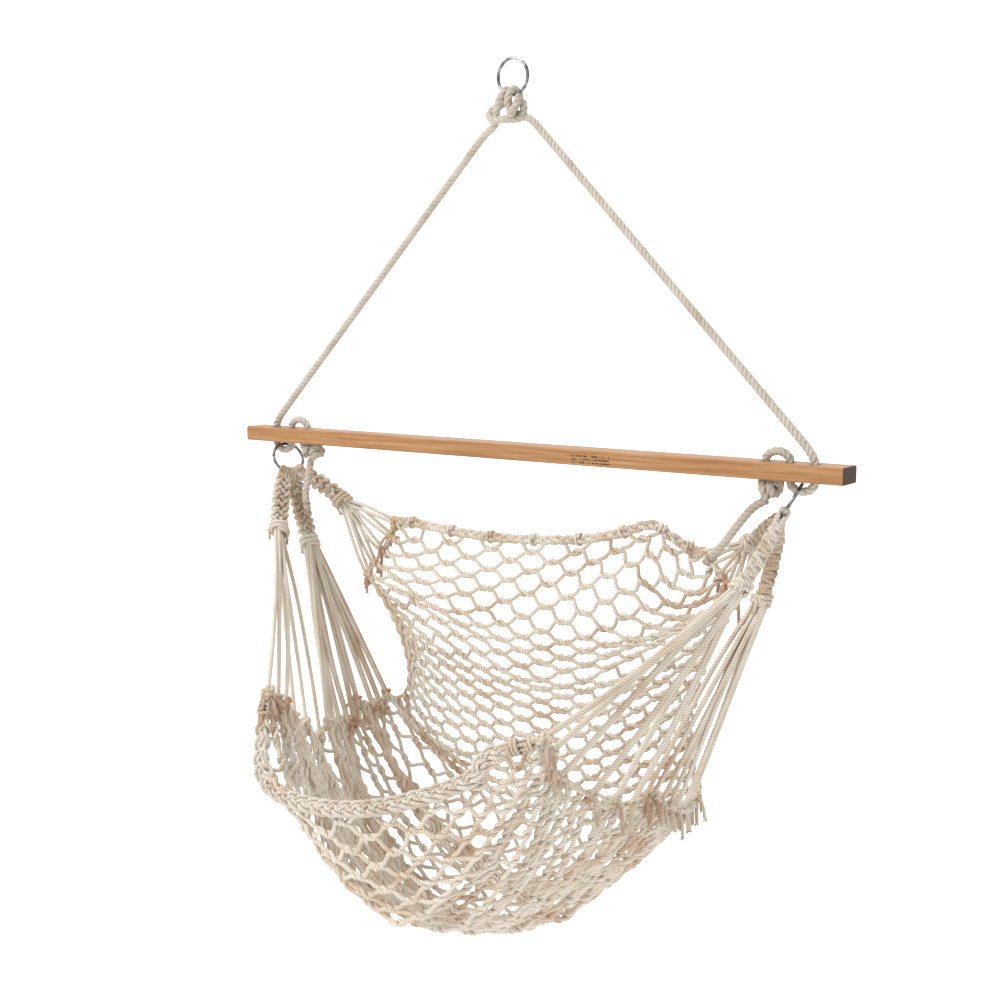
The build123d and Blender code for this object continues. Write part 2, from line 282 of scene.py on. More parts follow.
def math_node(N, op, a=None, b=None, links=None, clamp=False):
    n = N.new("ShaderNodeMath")
    n.operation = op
    n.use_clamp = clamp
    for i, v in enumerate((a, b)):
        if v is None:
            continue
        if isinstance(v, (int, float)):
            n.inputs[i].default_value = v
        else:
            links.new(v, n.inputs[i])
    return n.outputs[0]


def cotton(name, light, mid, dark, ridge=3, fibre=26, bump=0.6, furrow_shade_color=(0.63, 0.54, 0.45)):
    """Twisted cotton: painted shade where strands meet, so the ridges read lighter; uneven along each cord."""
    mat = bpy.data.materials.new(name)
    nt, N, L, bsdf = nodes_of(mat)
    uv = N.new("ShaderNodeUVMap")
    uv.uv_map = "cord_uv"
    sep = N.new("ShaderNodeSeparateXYZ")
    L.new(uv.outputs[0], sep.inputs[0])
    diff = math_node(N, "SUBTRACT", sep.outputs[0], sep.outputs[1], L)
    # the strand ridges follow the lobes of the tube
    ridges = math_node(N, "COSINE", math_node(N, "MULTIPLY", diff, 2 * math.pi * ridge, L), None, L)
    ridges = math_node(N, "MULTIPLY_ADD", ridges, 0.5, L)
    ridges.node.inputs[2].default_value = 0.5
    # fine yarn twist, the other way
    cross = math_node(N, "ADD", math_node(N, "MULTIPLY", sep.outputs[0], 5.0, L), math_node(N, "MULTIPLY", sep.outputs[1], float(fibre), L), L)
    yarn = math_node(N, "SINE", math_node(N, "MULTIPLY", cross, 2 * math.pi, L), None, L)
    coord = N.new("ShaderNodeTexCoord")
    big = N.new("ShaderNodeTexNoise")
    big.inputs["Scale"].default_value = 16.0
    big.inputs["Detail"].default_value = 3.0
    L.new(coord.outputs["Object"], big.inputs["Vector"])
    fine = N.new("ShaderNodeTexNoise")
    fine.inputs["Scale"].default_value = 900.0
    fine.inputs["Detail"].default_value = 4.0
    L.new(coord.outputs["Object"], fine.inputs["Vector"])
    tone = N.new("ShaderNodeAttribute")
    tone.attribute_name = "tone"
    # each cord is somewhere between bleached and raw cotton
    shade = math_node(N, "MULTIPLY", math_node(N, "SUBTRACT", big.outputs["Fac"], 0.5, L), 1.5, L)
    shade = math_node(N, "ADD", shade, tone.outputs["Fac"], L, clamp=True)
    ramp = N.new("ShaderNodeValToRGB")
    ramp.color_ramp.elements[0].position = 0.0
    ramp.color_ramp.elements[0].color = (*dark, 1)
    ramp.color_ramp.elements[1].position = 0.8
    ramp.color_ramp.elements[1].color = (*light, 1)
    e = ramp.color_ramp.elements.new(0.4)
    e.color = (*mid, 1)
    L.new(shade, ramp.inputs[0])
    # painted shade: the furrows between strands and yarns are darker and browner, mixed with fine random unevenness
    v = math_node(N, "MULTIPLY", ridges, 0.72, L)
    v = math_node(N, "ADD", v, math_node(N, "MULTIPLY", fine.outputs["Fac"], 0.50, L), L)
    v = math_node(N, "ADD", v, math_node(N, "MULTIPLY", yarn, 0.06, L), L, clamp=True)
    furrow = N.new("ShaderNodeValToRGB")
    furrow.color_ramp.elements[0].position = 0.12
    furrow.color_ramp.elements[0].color = (*furrow_shade_color, 1)
    furrow.color_ramp.elements[1].position = 0.62
    furrow.color_ramp.elements[1].color = (1, 1, 1, 1)
    L.new(v, furrow.inputs[0])
    mul = N.new("ShaderNodeMix")
    mul.data_type = "RGBA"
    mul.blend_type = "MULTIPLY"
    mul.inputs[0].default_value = 1.0
    L.new(ramp.outputs[0], mul.inputs[6])
    L.new(furrow.outputs[0], mul.inputs[7])
    L.new(mul.outputs[2], bsdf.inputs["Base Color"])
    # relief
    h = math_node(N, "ADD", math_node(N, "MULTIPLY", ridges, 0.5, L), math_node(N, "MULTIPLY", yarn, 0.13, L), L)
    h = math_node(N, "ADD", h, math_node(N, "MULTIPLY", fine.outputs["Fac"], 0.4, L), L)
    bp = N.new("ShaderNodeBump")
    bp.inputs["Strength"].default_value = bump
    bp.inputs["Distance"].default_value = 0.001
    L.new(h, bp.inputs["Height"])
    L.new(bp.outputs[0], bsdf.inputs["Normal"])
    bsdf.inputs["Roughness"].default_value = 0.9
    bsdf.inputs["Specular IOR Level"].default_value = 0.2
    bsdf.inputs["Sheen Weight"].default_value = 0.15
    bsdf.inputs["Sheen Roughness"].default_value = 0.5
    return mat


def srgb(*c):
    return tuple((x / 255 / 12.92) if x / 255 <= 0.04045 else ((x / 255 + 0.055) / 1.055) ** 2.4 for x in c)


cream, tan, brown = srgb(233, 226, 214), srgb(220, 206, 188), srgb(196, 161, 133)
mat_net = cotton("cotton_net_cord", cream, tan, brown)
mat_braid = cotton("cotton_plait", srgb(228, 220, 208), srgb(209, 193, 173), srgb(183, 151, 126), furrow_shade_color=(0.56, 0.48, 0.41))
mat_rope = cotton("cotton_laid_rope", srgb(212, 205, 194), srgb(199, 189, 175), srgb(176, 152, 132), ridge=7, fibre=9, bump=0.7, furrow_shade_color=(0.52, 0.45, 0.39))
mat_whip = cotton("cotton_whipping", srgb(226, 218, 205), srgb(207, 190, 169), srgb(180, 148, 122), furrow_shade_color=(0.58, 0.50, 0.43))


def oak_material():
    mat = bpy.data.materials.new("oak_varnished")
    nt, N, L, bsdf = nodes_of(mat)
    coord = N.new("ShaderNodeTexCoord")
    mp = N.new("ShaderNodeMapping")
    mp.inputs["Scale"].default_value = (2.2, 70.0, 70.0)
    L.new(coord.outputs["Object"], mp.inputs[0])
    grain = N.new("ShaderNodeTexNoise")
    grain.inputs["Scale"].default_value = 3.0
    grain.inputs["Detail"].default_value = 8.0
    grain.inputs["Distortion"].default_value = 0.4
    L.new(mp.outputs[0], grain.inputs["Vector"])
    pore_map = N.new("ShaderNodeMapping")
    pore_map.inputs["Scale"].default_value = (9.0, 420.0, 420.0)
    L.new(coord.outputs["Object"], pore_map.inputs[0])
    pores = N.new("ShaderNodeTexNoise")
    pores.inputs["Scale"].default_value = 4.0
    pores.inputs["Detail"].default_value = 3.0
    L.new(pore_map.outputs[0], pores.inputs["Vector"])
    ramp = N.new("ShaderNodeValToRGB")
    cr = ramp.color_ramp
    cr.elements[0].position, cr.elements[0].color = 0.28, (*srgb(150, 104, 66), 1)
    cr.elements[1].position, cr.elements[1].color = 0.74, (*srgb(186, 145, 104), 1)
    m = cr.elements.new(0.5)
    m.color = (*srgb(170, 126, 86), 1)
    L.new(grain.outputs["Fac"], ramp.inputs[0])
    pr = N.new("ShaderNodeMapRange")
    pr.inputs["From Min"].default_value = 0.30
    pr.inputs["From Max"].default_value = 0.42
    L.new(pores.outputs["Fac"], pr.inputs["Value"])
    dark = N.new("ShaderNodeMix")
    dark.data_type = "RGBA"
    dark.inputs[6].default_value = (*srgb(134, 90, 56), 1)
    L.new(pr.outputs[0], dark.inputs[0])
    L.new(ramp.outputs[0], dark.inputs[7])
    # the sawn ends are dark end grain, painted darker still as shade on the end faces
    sep = N.new("ShaderNodeSeparateXYZ")
    L.new(coord.outputs["Object"], sep.inputs[0])
    ax = math_node(N, "ABSOLUTE", sep.outputs[0], None, L)
    endm = N.new("ShaderNodeMapRange")
    endm.inputs["From Min"].default_value = 0.5764
    endm.inputs["From Max"].default_value = 0.5772
    L.new(ax, endm.inputs["Value"])
    rings = N.new("ShaderNodeTexNoise")
    rings.inputs["Scale"].default_value = 160.0
    rings.inputs["Detail"].default_value = 4.0
    L.new(coord.outputs["Object"], rings.inputs["Vector"])
    end_grain_and_shade_col = N.new("ShaderNodeValToRGB")
    end_grain_and_shade_col.color_ramp.elements[0].color = (*srgb(46, 27, 21), 1)
    end_grain_and_shade_col.color_ramp.elements[1].color = (*srgb(84, 54, 43), 1)
    L.new(rings.outputs["Fac"], end_grain_and_shade_col.inputs[0])
    # painted shade round each rope hole, where the bore lies in shadow
    prev = dark.outputs[2]
    near = None
    for x in (0.448, 0.487, 0.525):
        dx = math_node(N, "SUBTRACT", ax, x, L)
        d2 = math_node(N, "SQRT", math_node(N, "ADD", math_node(N, "MULTIPLY", dx, dx, L),
                                            math_node(N, "MULTIPLY", sep.outputs[1], sep.outputs[1], L), L), None, L)
        near = d2 if near is None else math_node(N, "MINIMUM", near, d2, L)
    hole = N.new("ShaderNodeMapRange")
    hole.inputs["From Min"].default_value = 0.0075
    hole.inputs["From Max"].default_value = 0.0096
    hole.inputs["To Min"].default_value = 1.0
    hole.inputs["To Max"].default_value = 0.0
    L.new(near, hole.inputs["Value"])
    hole_shade_mix = N.new("ShaderNodeMix")
    hole_shade_mix.data_type = "RGBA"
    L.new(hole.outputs[0], hole_shade_mix.inputs[0])
    # a plain burnt mark: rows of dashes on the front face
    def between(value, lo_, hi_):
        return math_node(N, "MULTIPLY", math_node(N, "GREATER_THAN", value, lo_, L), math_node(N, "LESS_THAN", value, hi_, L), L)
    rows_z = math_node(N, "SINE", math_node(N, "MULTIPLY", sep.outputs[2], 2 * math.pi / 0.0052, L), None, L)
    wob = N.new("ShaderNodeTexNoise")
    wob.inputs["Scale"].default_value = 210.0
    L.new(coord.outputs["Object"], wob.inputs["Vector"])
    dash = math_node(N, "MULTIPLY", math_node(N, "GREATER_THAN", rows_z, 0.1, L), math_node(N, "GREATER_THAN", wob.outputs["Fac"], 0.47, L), L)
    dash = math_node(N, "MULTIPLY", dash, between(sep.outputs[0], 0.128, 0.198), L)
    dash = math_node(N, "MULTIPLY", dash, between(sep.outputs[2], -0.6245, -0.6095), L)
    dash = math_node(N, "MULTIPLY", dash, math_node(N, "LESS_THAN", sep.outputs[1], -0.0236, L), L)
    burn = N.new("ShaderNodeMix")
    burn.data_type = "RGBA"
    L.new(math_node(N, "MULTIPLY", dash, 0.9, L), burn.inputs[0])
    L.new(prev, burn.inputs[6])
    burn.inputs[7].default_value = (*srgb(66, 46, 36), 1)
    prev = burn.outputs[2]
    L.new(prev, hole_shade_mix.inputs[6])
    # colour of the painted shade round the holes
    hole_shade_mix.inputs[7].default_value = (*srgb(70, 46, 32), 1)
    mix2 = N.new("ShaderNodeMix")
    mix2.data_type = "RGBA"
    L.new(endm.outputs[0], mix2.inputs[0])
    L.new(hole_shade_mix.outputs[2], mix2.inputs[6])
    L.new(end_grain_and_shade_col.outputs[0], mix2.inputs[7])
    L.new(mix2.outputs[2], bsdf.inputs["Base Color"])
    bp = N.new("ShaderNodeBump")
    bp.inputs["Strength"].default_value = 0.25
    bp.inputs["Distance"].default_value = 0.0006
    L.new(pores.outputs["Fac"], bp.inputs["Height"])
    L.new(bp.outputs[0], bsdf.inputs["Normal"])
    bsdf.inputs["Roughness"].default_value = 0.5
    bsdf.inputs["Specular IOR Level"].default_value = 0.15
    bsdf.inputs["Coat Weight"].default_value = 0.08
    bsdf.inputs["Coat Roughness"].default_value = 0.25
    return mat


def steel_material():
    mat = bpy.data.materials.new("zinc_plated_steel")
    nt, N, L, bsdf = nodes_of(mat)
    coord = N.new("ShaderNodeTexCoord")
    noise = N.new("ShaderNodeTexNoise")
    noise.inputs["Scale"].default_value = 90.0
    noise.inputs["Detail"].default_value = 5.0
    L.new(coord.outputs["Object"], noise.inputs["Vector"])
    ramp = N.new("ShaderNodeValToRGB")
    ramp.color_ramp.elements[0].position, ramp.color_ramp.elements[0].color = 0.35, (0.10, 0.10, 0.105, 1)
    ramp.color_ramp.elements[1].position, ramp.color_ramp.elements[1].color = 0.62, (0.46, 0.46, 0.46, 1)
    L.new(noise.outputs["Fac"], ramp.inputs[0])
    L.new(ramp.outputs[0], bsdf.inputs["Base Color"])
    rr = N.new("ShaderNodeMapRange")
    rr.inputs["To Min"].default_value = 0.2
    rr.inputs["To Max"].default_value = 0.42
    L.new(noise.outputs["Fac"], rr.inputs["Value"])
    L.new(rr.outputs[0], bsdf.inputs["Roughness"])
    bsdf.inputs["Metallic"].default_value = 1.0
    return mat


mat_oak, mat_steel = oak_material(), steel_material()
for name, mat in (("spreader_bar", mat_oak), ("top_ring", mat_steel), ("lower_ring_left", mat_steel), ("lower_ring_right", mat_steel)):
    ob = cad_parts[name]
    for sl in ob.material_slots:
        sl.material = mat


def place(c, name, material, body, nodes):
    ob = c.make(name, material)
    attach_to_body(ob, body)
    if nodes:
        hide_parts(*nodes)
    return ob


# ------------------------------------------------------------------ free tails, as cords of their own
tail_routes = {
    "left": [(-434, -8, -654.6), (-433, -12, -668), (-434, -16, -684), (-435, -20, -702), (-434, -25, -722), (-425, -29, -741)],
    "right": [(452, -3, -659.3), (437, -8, -667), (425, -11, -681), (411, -12, -699), (395, -9, -719), (377, -4, -740), (356, 3, -760)],
}
rng = np.random.default_rng(11)
for side, route in tail_routes.items():
    pts = mm(route)
    cu = bpy.data.curves.new("tail_route", "CURVE")
    cu.dimensions = "3D"
    sp = cu.splines.new("NURBS")
    sp.points.add(len(pts) - 1)
    for q, p in zip(sp.points, pts):
        q.co = (*p, 1.0)
    sp.order_u = 3
    sp.use_endpoint_u = True
    cu.resolution_u = 12
    co = bpy.data.objects.new("tail_route", cu)
    bpy.context.scene.collection.objects.link(co)
    bpy.context.view_layer.update()
    me = bpy.data.meshes.new_from_object(co)
    line = np.array([tuple(v.co) for v in me.vertices])
    bpy.data.objects.remove(co)
    bpy.data.curves.remove(cu)
    bpy.data.meshes.remove(me)
    c = Cords()
    rope(c, line, 0.0067, 0.027, tone=0.42, phase=0.4)
    d = unit(line[-1] - line[-3])
    fray(c, line[-1], d, 0.0056, rng, length=0.0056, n=20, tone=0.35)
    # a thin seizing keeps the cut end from opening
    t, n, b = frames(smooth(line, 0.002))
    q = smooth(line, 0.002)
    k = len(q) - 6
    th = np.linspace(0, 2 * math.pi * 3, 60)
    coil = q[k] + d * (th[:, None] / (2 * math.pi) * 0.0016) + 0.0062 * (np.cos(th)[:, None] * n[k] + np.sin(th)[:, None] * b[k])
    c.tube(coil, 0.0009, sides=6, tone=0.3, pitch=0.004)
    ob = place(c, "rope_tail_" + side + "_rope", mat_rope, "tail_" + side, ["rope_tail_" + side])

# ------------------------------------------------------------------ bridle rope: knot, legs, lacing, stoppers
knot = mm([(-39, 1, -101), (-35, 1, -93), (-30, -4, -85), (-25, -9.5, -77), (-20.5, -10.5, -66), (-16, -8.5, -54), (-12.5, 0, -44),
           (-13, 8, -52), (-19, 9, -61), (-28, 7, -67), (-38, 3, -72), (-43.5, -2, -80), (-38.5, -7, -88), (-27, -10, -91.5),
           (-12, -9, -91), (1, -5, -91), (11, -2, -91), (18.5, 0, -85), (20.5, 1, -75), (16.5, 3, -65), (7, 2, -66),
           (2.5, -6, -76), (5.5, -13, -84), (12, -14.5, -77.5), (16, -12.5, -69), (14, -5, -60), (8.5, 6, -54), (2.5, 1, -44.5),
           (0, -8.5, -52), (-1.5, -10.5, -63), (-2.5, -6.5, -72), (2, 2, -81), (12, 6, -86), (26, 4, -90), (38, 1, -96)])
c = Cords()
left_leg = mm([(-525, 0, -615), (-524.6, 0, -602), (-520, 0, -590), (-508, 0, -575), (-480, 0, -546), (-400, 0, -464),
               (-250, 0, -311), (-120, 0, -178), (-60, 0, -117)])
right_leg = mm([(60, 0, -117), (120, 0, -178), (250, 0, -311), (400, 0, -464), (480, 0, -546), (508, 0, -575), (520, 0, -590),
                (524.6, 0, -602), (525, 0, -615)])


def lacing(s):
    out = [(525, 0, -615), (525, 0, -629), (522, 0, -636.5), (515, 0, -641.6), (506, 0, -643.2), (497, 0, -641.6), (490, 0, -636.5),
           (487, 0, -628), (487, 0, -615), (487, 0, -602), (484.5, -0.5, -594.5), (477, -1, -588.5), (467.5, -1.5, -586.5),
           (458, -1, -588.5), (450.5, -0.5, -594.5), (448, 0, -602), (448, 0, -615), (448, 0, -627)]
    # stopper: the rope turns on itself under the bar, and its end comes out underneath
    x0, x1, turns, first, rad = (470, 444, 2.05, 0.0, 8.6) if s > 0 else (461, 421, 2.35, 0.0, 7.6)
    n = int(turns * 8)
    for k in range(n + 1):
        a = math.radians(first + 360 * turns * k / n)
        out.append((x0 + (x1 - x0) * k / n, rad * math.sin(a), -641.5 + rad * math.cos(a)))
    out += [(451, -6, -650), (452, -4, -657)] if s > 0 else [(425, -5, -648), (432, -8, -654)]
    return mm([(s * x, y, z) for x, y, z in out])


path = np.vstack([lacing(-1)[::-1][:-1], left_leg, knot, right_leg, lacing(1)[1:]])
rope(c, path, 0.0068, 0.027, tone=0.6)
# the bar lies over the rope between its holes, so the rope shows only outside the bar
place(c, "bridle_rope", mat_rope, "yoke",
      ["crown_knot", "suspension_leg_left", "suspension_leg_right", "bar_lacing_left", "bar_lacing_right",
       "stopper_knot_left", "stopper_knot_right"])

# ------------------------------------------------------------------ clews
attach = {
    ("back", "left"): [(-321, 85, -154), (-326, 82, -181), (-339, 75, -209), (-354, 68, -232), (-362, 60, -252)],
    ("middle", "left"): [(-314, 50, -462), (-312, 30, -476), (-315, 12, -474), (-333, -8, -465), (-322, -30, -493),
                         (-318, -50, -492), (-324, -67, -488), (-319, -88, -486), (-315, -105, -480)],
    ("front", "left"): [(-309, -133, -493), (-308, -168, -462), (-298, -205, -443), (-279, -245, -407),
                        (-270, -272, -394), (-267, -298, -375)],
    ("back", "right"): [(305, 85, -149), (323, 80, -161), (345, 72, -176), (362, 65, -189), (377, 58, -205)],
    ("middle", "right"): [(320, 50, -514), (326, 30, -522), (329, 12, -529), (329, -8, -530), (329, -30, -524),
                          (328, -50, -514), (323, -67, -505), (320, -88, -490), (316, -105, -488)],
    ("front", "right"): [(308, -133, -495), (303, -168, -477), (287, -210, -463), (266, -255, -426),
                         (264, -275, -384), (266, -298, -359)],
}
clew_rows = {
    ("back", "left"): (0, 1, 0, 1, 0), ("back", "right"): (1, 0, 0, 1, 0),
    ("middle", "left"): (0, 1, 2, 0, 2, 1, 2, 1, 0), ("middle", "right"): (2, 1, 0, 0, 1, 2, 0, 1, 2),
    ("front", "left"): (0, 1, 1, 0, 0, 1), ("front", "right"): (1, 0, 0, 1, 1, 0),
}
wrap_centre = {"front": (450, -76, -161), "middle": (447, -1, -192), "back": (406, 42, -118)}
hitch_angle = {"front": -28.0, "middle": 0.0, "back": 28.0}
ring_r = 0.0282
Z = np.array([0, 0, 1.0])

for side, s in (("left", -1), ("right", 1)):
    rng = np.random.default_rng(21 + s)
    ya, le = math.radians(20), math.radians(30)
    t_ring = np.array([-s * math.sin(ya), math.cos(ya), 0])
    inward = np.array([-s * math.cos(ya), -math.sin(ya), 0])
    down = inward * math.sin(le) - Z * math.cos(le)
    top = np.array([s * 0.506, 0, BAR_Z - 0.01775])
    centre = top + down * ring_r
    on_ring = lambda deg: centre + ring_r * (down * math.cos(math.radians(deg)) + t_ring * math.sin(math.radians(deg)))
    for group in ("front", "middle", "back"):
        c = Cords()
        th = math.radians(hitch_angle[group])
        on_wire = on_ring(hitch_angle[group])
        along = unit(t_ring * math.cos(th) - down * math.sin(th))
        wrap_mid = bar_mm([np.array(wrap_centre[group]) * [s, 1, 1]])[0]
        ends = bar_mm(attach[group, side])
        to_wrap = unit(wrap_mid - on_wire)
        axis = unit(unit(ends.mean(0) - wrap_mid) + to_wrap * 0.6)
        ep = unit(to_wrap - along * (to_wrap @ along))
        start = on_wire + ep * 0.0085
        stop = wrap_mid - axis * 0.006
        ctrl = stop - axis * (np.linalg.norm(stop - start) * 0.4)
        u = np.linspace(0, 1, 60)[:, None]
        mid = smooth(start * (1 - u) ** 2 + ctrl * 2 * u * (1 - u) + stop * u ** 2, 0.0022)
        tt = np.gradient(mid, axis=0)
        tt /= np.linalg.norm(tt, axis=1, keepdims=True)
        wid = t_ring[None] - tt * (tt @ t_ring)[:, None]
        wid /= np.linalg.norm(wid, axis=1, keepdims=True)
        nor = np.cross(tt, wid)
        f = np.linspace(0, 1, len(mid))
        half_w = np.interp(f, [0, 0.10, 0.35, 0.85, 1], [0.0115, 0.0145, 0.0162, 0.0155, 0.0125])
        half_t = np.interp(f, [0, 0.25, 1], [0.0085, 0.0125, 0.0122])
        strands, r, period = {"front": (6, 0.0039, 0.086), "middle": (7, 0.0037, 0.092), "back": (5, 0.0042, 0.070)}[group]
        plait(c, mid, wid, nor, half_w, half_t, r, period, strands=strands,
              tone={"front": 0.60, "middle": 0.36, "back": 0.45}[group], phase=rng.uniform(0, 6), doubled=False, rng=rng)
        # the cords' straight ends run down the middle of the plait
        for e in (-1, 1):
            rope(c, mid[6:] + wid[6:] * e * 0.0052, 0.0054, 0.05, tone=0.35, phase=e)
        # cords looped over the ring's wire
        for k in range(4):
            deg = hitch_angle[group] + (k - 1.5) * 9.8
            w = on_ring(deg)
            al = unit(t_ring * math.cos(math.radians(deg)) - down * math.sin(math.radians(deg)))
            rad = unit(w - centre)
            nn = np.cross(al, rad)
            a = np.linspace(math.radians(-140), math.radians(140), 26)
            loop = w - rad[None] * (0.0062 * np.cos(a))[:, None] + nn[None] * (0.0062 * np.sin(a))[:, None] \
                + al[None] * (a / 2.4 * 0.0012)[:, None]
            low = start + ep * 0.009 + wid[0] * (k - 1.5) * 0.006
            loop = np.vstack([low - nn * 0.004, loop, low + nn * 0.004])
            cord(c, loop, 0.0032, tone=0.5 + rng.uniform(-0.2, 0.2), phase=k, step=0.0022)
        place(c, group + "_braid_" + side + "_plait", mat_braid, "seat", [group + "_braid_" + side])

        # whipping: bulky slanted turns and a tucked end
        c = Cords()
        wd = unit(t_ring - axis * (t_ring @ axis))
        nd = np.cross(axis, wd)
        turns = 2.2
        a = np.linspace(0.7, 0.7 + 2 * math.pi * turns, 88)
        slant = 0.0042 * np.cos(a + 0.5)
        coil = wrap_mid + axis[None] * ((a / (2 * math.pi) - 0.1 - turns / 2) * 0.0072 + slant)[:, None] \
            + wd[None] * (0.0150 * np.cos(a))[:, None] + nd[None] * (0.0132 * np.sin(a))[:, None]
        cord(c, coil, 0.0040, tone=0.6, pitch=0.020, step=0.0024)
        for e in (-1, 1):
            # the cord is tucked in a knot on each side, with a short cut end
            lump = wrap_mid + wd * e * 0.0135 - nd * 0.003 + axis * (0.001 + 0.002 * e)
            knotlet(c, lump, unit(wd + rng.normal(size=3) * 0.4), 0.0020, 0.0036, rng, tone=0.5)
            q1 = lump + wd * e * 0.003 + axis * 0.006 - nd * 0.002
            q2 = q1 + axis * 0.006 - Z * 0.004
            cord(c, [lump, q1, q2], 0.0028, tone=0.45, step=0.002)
            fray(c, q2, q2 - q1, 0.0027, rng, length=0.005, n=7, tone=0.4)
        place(c, group + "_wrap_" + side + "_whipping", mat_whip, "seat", [group + "_wrap_" + side])

        # clew cords
        c = Cords()
        spread = ends[-1] - ends[0]
        p_dir = unit(spread - axis * (spread @ axis))
        q_dir = np.cross(axis, p_dir)
        n = len(ends)
        rows = 3 if n == 9 else 2
        cols = math.ceil(n / rows)
        for k, end in enumerate(ends):
            col, row = k // rows, clew_rows[group, side][k]
            a0 = wrap_mid - axis * 0.004 + p_dir * ((col - (cols - 1) / 2) * 0.0062) + q_dir * ((row - (rows - 1) / 2) * 0.0055)
            a1 = wrap_mid + axis * 0.0135 + p_dir * ((col - (cols - 1) / 2) * 0.0074) + q_dir * ((row - (rows - 1) / 2) * 0.0068)
            L = np.linalg.norm(end - a1)
            bow = rng.uniform(-0.010, 0.012) * L / 0.35
            sid = unit(np.cross(end - a1, rng.normal(size=3)))
            m1 = a1 + (end - a1) * 0.33 + sid * bow * 0.8
            m2 = a1 + (end - a1) * 0.68 + sid * bow * 0.7 - Z * abs(bow) * 0.3
            # each is one long loop: two legs from the plait to the edge knot
            leg = unit(np.cross(end - a1, q_dir + p_dir * 0.3))
            for e in (-1, 1):
                o = leg * e
                w1, w2 = rng.uniform(0.0036, 0.0055), rng.uniform(0.0036, 0.0050)
                cord(c, [a0 + o * 0.0028, a1 + o * 0.0034, m1 + o * w1, m2 + o * w2, end + o * 0.0032], 0.0035,
                     tone=(0.52 if group == "middle" and side == "left" else 0.66) + rng.uniform(-0.22, 0.2),
                     pitch=0.015, phase=rng.uniform(0, 6), step=0.0028, amp=0.09)
        place(c, group + "_clew_cords_" + side + "_cords", mat_net, "seat", [group + "_clew_cords_" + side])

        # edge knots with their cut ends
        c = Cords()
        raw = 0.28 if (group, side) == ("middle", "left") else 0.36
        for k, end in enumerate(ends):
            dirn = unit(end - wrap_mid)
            knotlet(c, end, unit(dirn + rng.normal(size=3) * 0.5), 0.0025, 0.0035, rng, tone=raw + rng.uniform(-0.2, 0.2))
            knotlet(c, end + dirn * 0.011 + rng.normal(size=3) * 0.003, rng.normal(size=3), 0.0022, 0.0033, rng, tone=raw - 0.1 + rng.uniform(-0.15, 0.15))
            for _ in range(2 if group != "back" else 1 + k % 2):
                out = unit(np.array([s * rng.uniform(0.1, 0.7), rng.uniform(-0.7, 0.2), rng.uniform(-1.0, -0.2)]))
                Lt = rng.uniform(0.012, 0.030)
                q1 = end + out * 0.011
                q2 = q1 + out * Lt * 0.35 - Z * Lt * 0.40
                q3 = q2 + out * Lt * 0.10 - Z * Lt * 0.55
                cord(c, [end, q1, q2, q3], 0.0032, tone=raw - 0.1 + rng.uniform(-0.2, 0.2), step=0.0024, phase=rng.uniform(0, 6), pitch=0.014)
                fray(c, q3, q3 - q2, 0.0030, rng, length=0.006, n=8, tone=raw)
        place(c, group + "_edge_knots_" + side + "_knots", mat_net, "seat", [group + "_edge_knots_" + side])

# ------------------------------------------------------------------ selvages
B_L, B_R = bar_mm(attach["back", "left"]), bar_mm(attach["back", "right"])
M_L, M_R = bar_mm(attach["middle", "left"]), bar_mm(attach["middle", "right"])
F_L, F_R = bar_mm(attach["front", "left"]), bar_mm(attach["front", "right"])
BS = bar_mm([(-321, 85, -152), (-283, 84, -152), (-236, 82, -155), (-155, 78, -160), (-78, 74, -160), (7, 70, -155), (88, 68, -146),
             (156, 66, -131), (220, 66, -110), (249, 72, -123), (274, 80, -139), (305, 85, -149)])
FS = bar_mm([(-267, -298, -375), (-267, -308, -414), (-263, -318, -460), (-257, -326, -498), (-230, -332, -522), (-188, -335, -529),
             (-135, -336, -530), (-73, -336, -522), (-5, -335, -505), (61, -333, -480), (123, -330, -452), (162, -325, -429),
             (176, -315, -401), (211, -305, -383), (266, -298, -363)])


def plait_along(c, pts, half_w, half_t, r, period, face, strands=5, tone=0.5, doubled=True, seed=1, taper=0.02):
    rg = np.random.default_rng(seed)
    mid = smooth(pts, 0.0024)
    tt = np.gradient(mid, axis=0)
    tt /= np.linalg.norm(tt, axis=1, keepdims=True)
    face = np.asarray(face, float)
    nor = face[None] - tt * (tt @ face)[:, None]
    nor /= np.linalg.norm(nor, axis=1, keepdims=True)
    wid = np.cross(nor, tt)
    s = arclen(mid)
    k = np.minimum(1, 0.6 + 0.4 * np.minimum(s, s[-1] - s) / taper)
    plait(c, mid, wid, nor, half_w * k, half_t * k, r, period, strands=strands, tone=tone, doubled=doubled, rng=rg)


c = Cords()
plait_along(c, BS, 0.0092, 0.0074, 0.0043, 0.062, (0.1, -1, 0.35), strands=3, tone=0.6, doubled=False, seed=3)
place(c, "back_selvage_plait", mat_braid, "seat", ["back_selvage"])

c = Cords()
plait_along(c, FS[1:-1], 0.0135, 0.0088, 0.0036, 0.068, (0.25, -1, 0.75), strands=3, tone=0.7, doubled=True, seed=4)
place(c, "front_selvage_plait", mat_braid, "seat", ["front_selvage"])

